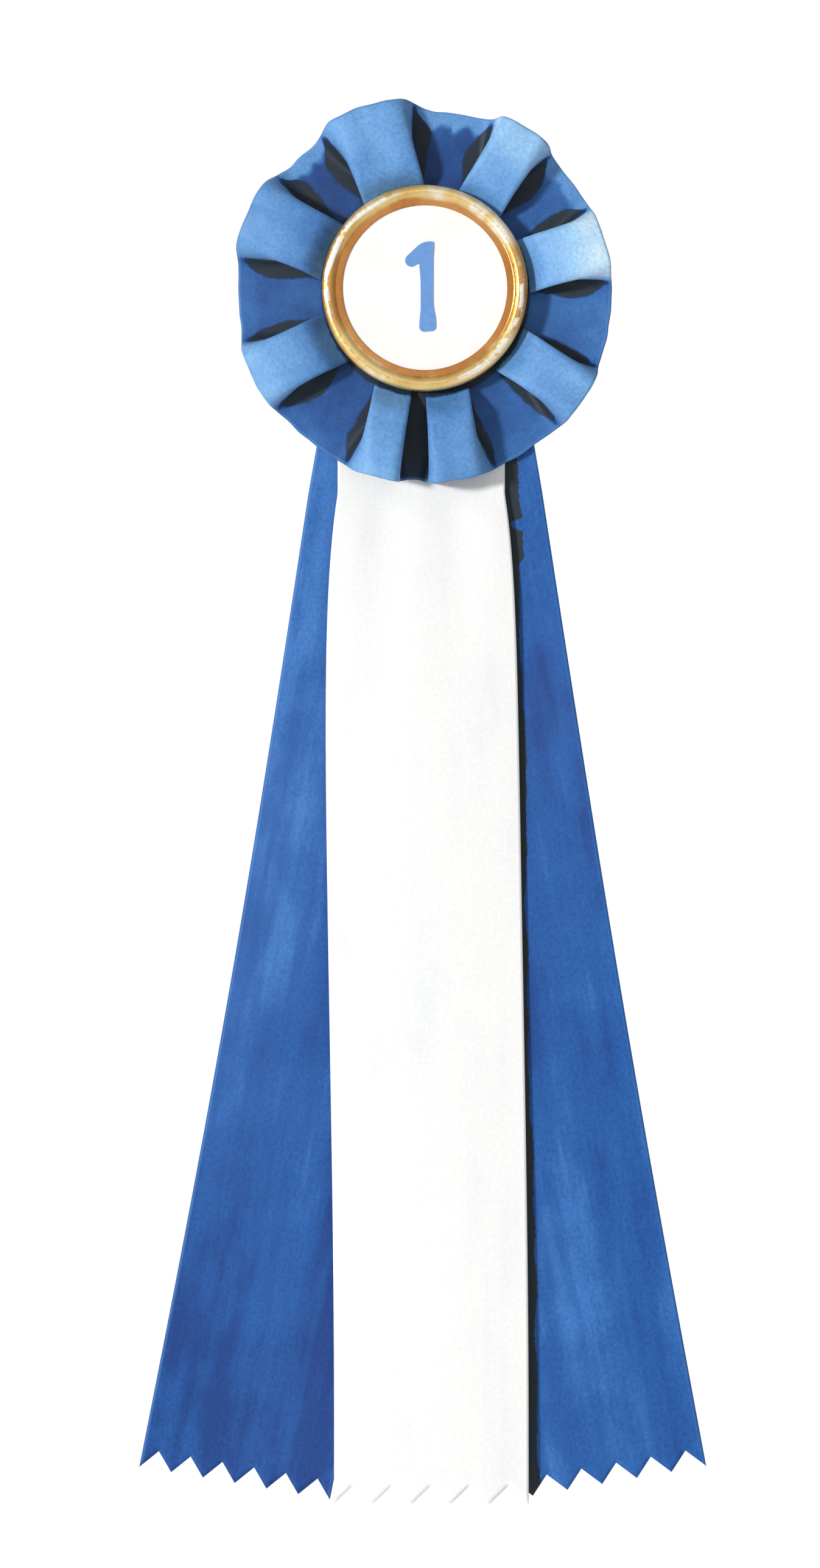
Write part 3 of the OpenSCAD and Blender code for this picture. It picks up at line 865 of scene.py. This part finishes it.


def streamer(name, splay, teeth, drop, shape, materials, nodes):
    """A ribbon from behind the support disc to its pinked end.

    drop is its length below the pivot. Half a tooth in teeth is the one on its left edge. shape(x, z) gives
    its y, the share of its width that it keeps, how far it leans to the right, and its tone.
    """
    pivot = Vector((HEAD.x, 0, HEAD.z - FAN_DROP))
    top = BLUE_TOP if splay else WHITE_TOP
    length = top + drop
    columns = int(teeth * TOOTH_COLUMNS) + 1
    turn = Matrix.Rotation(splay, 3, "Y")
    cloth = Cloth()
    for i in range(columns):
        across = i / (columns - 1)
        x = (across - 0.5) * TAIL_W
        phase = math.ceil(teeth) - (1 - across) * teeth
        notch = TOOTH * (1 - abs(2 * (phase - math.floor(phase)) - 1))
        for j in range(STREAMER_ROWS):
            along = length * j / (STREAMER_ROWS - 1)
            along -= notch * smooth((along - (length - TOOTH_ROWS)) / TOOTH_ROWS)
            z = pivot.z + (turn @ Vector((x, 0, top - along))).z
            y, keep, lean, tone = shape(x, z)
            moved = turn @ Vector((x * keep, 0, top - along))
            cloth.add((pivot.x + moved.x + lean, y, z), tone, along, x + TAIL_W / 2)
    piece = cloth.make(name, STREAMER_ROWS, materials)
    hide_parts(*nodes)
    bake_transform(piece)


def below(z, start, length):
    """0 above start and 1 from length below it."""
    return float(smooth((start - z) / length))


def white_shape(x, z):
    """Gathered where it comes out from under the pleats, then hanging a little in front of the blue ones."""
    free_y = middle("white_tail").y
    y = mix(free_y + WHITE_ROOT_BACK, free_y, below(z, HEAD.z - 32 * MM, 9 * MM))
    y -= WHITE_FORWARD * below(z, BEND_Z + 1 * MM, 30 * MM)
    gathered = math.exp(min(0.0, (z - BEND_Z) / OPENS))
    rippled = gathered * below(z, BEND_Z + 1 * MM, 10 * MM)
    y -= GATHER_DEPTH * rippled * (1 + math.cos(2 * math.pi * GATHER_FOLDS * x / TAIL_W)) / 2
    free = below(z, BEND_Z, 60 * MM)
    y += free * WHITE_WAVE * math.sin((z - BEND_Z) / WHITE_WAVE_LENGTH)
    y -= free * WHITE_CROWN * math.cos(math.pi * x / TAIL_W)
    y -= CURL * below(z, cad_low.z + CURL_LENGTH, CURL_LENGTH) ** 2
    lean = mix(LEAN_TOP, LEAN_END, below(z, LEAN_FROM, LEAN_FROM - LEAN_TO))
    return y, 1 - GATHER * gathered, lean, 0.0


def left_tone(z):
    """Paler under the head and deeper towards its end."""
    return mix(0.20, 0.09, below(z, BEND_Z - 20 * MM, 60 * MM)) - 0.19 * below(z, BEND_Z - 110 * MM, 110 * MM)


def right_tone(z):
    """Deepest about a third of the way down."""
    return mix(0.06, -0.03, below(z, BEND_Z - 5 * MM, 60 * MM)) + 0.08 * below(z, BEND_Z - 120 * MM, 90 * MM)


def blue_shape(side, tone, base_y, back, bow, aside):
    """side is -1 for the left streamer and 1 for the right one, back how far it drifts backwards.

    bow is how far it bows in towards the white streamer half way down, aside how far it lies to the right.
    """
    def shape(x, z):
        free = below(z, BEND_Z + 4 * MM, 70 * MM)
        outward = max(0.0, side * x / (TAIL_W / 2) + 0.2) / 1.2
        y = base_y + free * (back + BLUE_WAVE * math.sin((z - BEND_Z) / BLUE_WAVE_LENGTH + 0.6))
        y -= free * EDGE_WAVE * outward ** 2 * math.sin((z - BEND_Z) / EDGE_WAVE_LENGTH + 1.2 + side)
        share = min(1.0, max(0.0, (BEND_Z - z) / (BEND_Z - cad_low.z)))
        return y, 1.0, aside - side * bow * math.sin(math.pi * share), tone(z)
    return shape


def across_and_up(s):
    """The x and z of a point of the right streamer, from its own map."""
    place = s.split("ribbon")
    up = s.minus(BLUE_TOP, place["X"])
    across = s.minus(place["Y"], TAIL_W / 2)
    sine, cosine = math.sin(RIGHT_SPLAY), math.cos(RIGHT_SPLAY)
    x = s.add(s.times(across, cosine), s.times(up, sine))
    z = s.minus(s.times(up, cosine), s.times(across, sine))
    return x, s.add(z, HEAD.z - FAN_DROP)


def white_edge(s, z):
    """The x of the white streamer's right edge at height z, as white_shape puts it."""
    steps = s.math("MINIMUM", s.over(s.minus(z, BEND_Z), OPENS), 0.0)
    narrow = s.times(s.math("POWER", math.e, steps), GATHER * TAIL_W / 2)
    lean = s.ramp(z, LEAN_TO, LEAN_FROM, LEAN_END, LEAN_TOP)
    return s.add(s.minus(TAIL_W / 2, narrow), lean)


def strip_width(s, z):
    """The painted shadow strip's width: wide under the head, with one break, then narrow, then wider and
    uneven again.
    """
    width = s.ramp(z, BEND_Z - 18.5 * MM, BEND_Z - 16 * MM, 1.3 * MM, 3.1 * MM)
    width = s.add(width, s.ramp(z, BEND_Z - 46 * MM, BEND_Z - 40 * MM, 0.8 * MM, 0.0))
    width = s.add(width, s.ramp(z, BEND_Z - 165 * MM, BEND_Z - 155 * MM, 0.5 * MM, 0.0))
    from_break = s.math("ABSOLUTE", s.minus(z, STRIP_BREAK))
    width = s.minus(width, s.ramp(from_break, 0.6 * MM, 2.0 * MM, 3.0 * MM, 0.0))
    uneven = s.noise(s.place("ribbon", (75, 40, 1)), 2.0, 0.5)
    bristles = s.noise(s.place("ribbon", (900, 500, 1)), 3.0, 0.7)
    width = s.add(width, s.swing(uneven, 3 * MM))
    return s.add(width, s.swing(bristles, 1.2 * MM))


def shade_by_white(s):
    """Near 1 in the strip of painted deep shade on the right streamer, along the white one's right edge."""
    x, z = across_and_up(s)
    edge = white_edge(s, z)
    inside = s.minus(s.add(edge, strip_width(s, z)), x)
    behind = s.minus(x, edge)
    strip = s.times(s.ramp(inside, 0, 0.25 * MM), s.ramp(behind, -4 * MM, -2 * MM))
    return s.times(strip, 0.97)


def build_streamers():
    dyes = (srgb(14, 60, 130), srgb(24, 84, 156), srgb(58, 116, 186))
    blue = satin("blue_satin", *dyes, TAIL_W)
    shaded = satin("blue_satin_shaded", *dyes, TAIL_W, shade=shade_by_white)
    white = satin("white_satin", srgb(231, 232, 233), srgb(238, 238, 236), srgb(242, 242, 240), TAIL_W, 0.03)
    left_y, right_y = middle("left_tail").y, middle("right_tail").y
    streamer("left_streamer", LEFT_SPLAY, 6, LEFT_DROP,
             blue_shape(-1, left_tone, left_y, 0.6 * MM, 1.9 * MM, 0.0), [blue, blue],
             ["left_tail", "left_tail_root"])
    streamer("right_streamer", RIGHT_SPLAY, 5.5, RIGHT_DROP,
             blue_shape(1, right_tone, right_y, 0.2 * MM, 1.4 * MM, 0.5 * MM), [shaded, blue],
             ["right_tail", "right_tail_root"])
    streamer("white_streamer", 0, 5, HEAD.z - FAN_DROP - white_low.z,
             white_shape, [white, white],
             ["white_tail", "white_tail_root"])


# ------------------------------------------------------------------ the numeral

NUMERAL_UNITS = 23.0          # the numeral's height, in the units of its outline
INK_RISE = 0.05 * MM          # how far the ink stands out before the CAD numeral
CURVE_POINTS = 13


def arc(x, z, radius, start, stop):
    """Points of an arc round (x, z), from one angle to the other in degrees."""
    turns = np.radians(np.linspace(start, stop, CURVE_POINTS))
    return [(x + radius * math.cos(a), z + radius * math.sin(a)) for a in turns]


def curve(a, b, c):
    """Points of a quadratic curve from a to c that heads for b."""
    a, b, c = np.array(a), np.array(b), np.array(c)
    return [tuple(mix(mix(a, b, t), mix(b, c, t), t)) for t in np.linspace(0, 1, CURVE_POINTS)]


def stem_left(z):
    """The stroke's left edge at height z: it leans out a little downwards."""
    return -0.2 - 0.33 * float(smooth((z - 1) / 5.5)) - 0.33 * float(smooth((-z - 5) / 4.5))


def stem_right(z):
    """The stroke's right edge at height z: it widens into the foot."""
    return 3.0 + 0.2 * float(smooth((z - 7) / 4)) + 0.7 * float(smooth((-z - 3.5) / 5.5))


def numeral_outline():
    """Points in the numeral's units from its middle, clockwise from the top right."""
    outline = arc(2.55, 11.05, 0.65, 95, 0)
    outline += [(stem_right(z), z) for z in np.linspace(10.6, -9.3, 24)]
    outline += arc(stem_right(-9.8) - 1.2, -9.8, 1.2, 0, -75)
    outline += arc(0.75, -9.85, 1.3, -90, -175)
    outline += [(stem_left(z), z) for z in np.linspace(-9.6, 5.6, 20)]
    outline += curve((stem_left(6.0), 6.0), (-1.1, 6.1), (-1.92, 5.41))
    outline += arc(-2.52, 6.88, 1.59, -68, -225)
    outline += curve((-3.5, 8.15), (-2.4, 9.2), (-1.2, 10.3))
    outline += curve((-1.2, 10.3), (0.2, 11.7), (2.2, 11.7))
    return outline


def build_numeral():
    """A brushed figure one: a leaning flag with a round tip and a stroke that widens into its foot."""
    low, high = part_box("numeral")
    unit = (high.z - low.z) / NUMERAL_UNITS
    centre = (low + high) / 2
    outline = numeral_outline()
    count = len(outline)
    points = []
    for y in (low.y - INK_RISE, high.y):
        points += [(centre.x + x * unit, y, centre.z + z * unit) for x, z in outline]
    faces = [tuple(range(count)), tuple(reversed(range(count, 2 * count)))]
    faces += [(i, i + count, (i + 1) % count + count, (i + 1) % count) for i in range(count)]
    piece = new_mesh("figure_one", points, faces)
    for polygon in piece.data.polygons:
        polygon.use_smooth = False
    piece.data.materials.append(print_ink())
    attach(piece, "head")
    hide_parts("numeral")


# ------------------------------------------------------------------ finishes of the CAD pieces


def dress(node, material):
    piece = frame["nodes"][node]
    piece.data.materials.clear()
    piece.data.materials.append(material)


def dress_cad():
    steel = metal("steel", srgb(198, 200, 204), srgb(160, 162, 166), 0.30)
    brass = metal("pin_brass", srgb(214, 182, 112), srgb(176, 138, 70), 0.30)
    card = paper("card", srgb(222, 214, 196), srgb(204, 194, 172))
    cover = paper("cover_card", srgb(236, 233, 224), srgb(222, 216, 202))
    face = paper("disc_paper", srgb(243, 242, 240), srgb(237, 236, 232))
    for node in ("tail_staples", "button_shell", "button_collet", "button_prongs",
                 "hinge_rivet", "needle", "lock_barrel", "pin_rivets"):
        dress(node, steel)
    for node in ("pin_plate", "hinge_ears", "catch"):
        dress(node, brass)
    dress("gold_rim", gold_metal())
    dress("centre_disc", face)
    dress("support_disc", card)
    dress("back_cover", cover)
    dress("pleat_stitching", thread())


add_camera()
add_light()
add_stage()
build_pleats()
build_streamers()
build_numeral()
dress_cad()
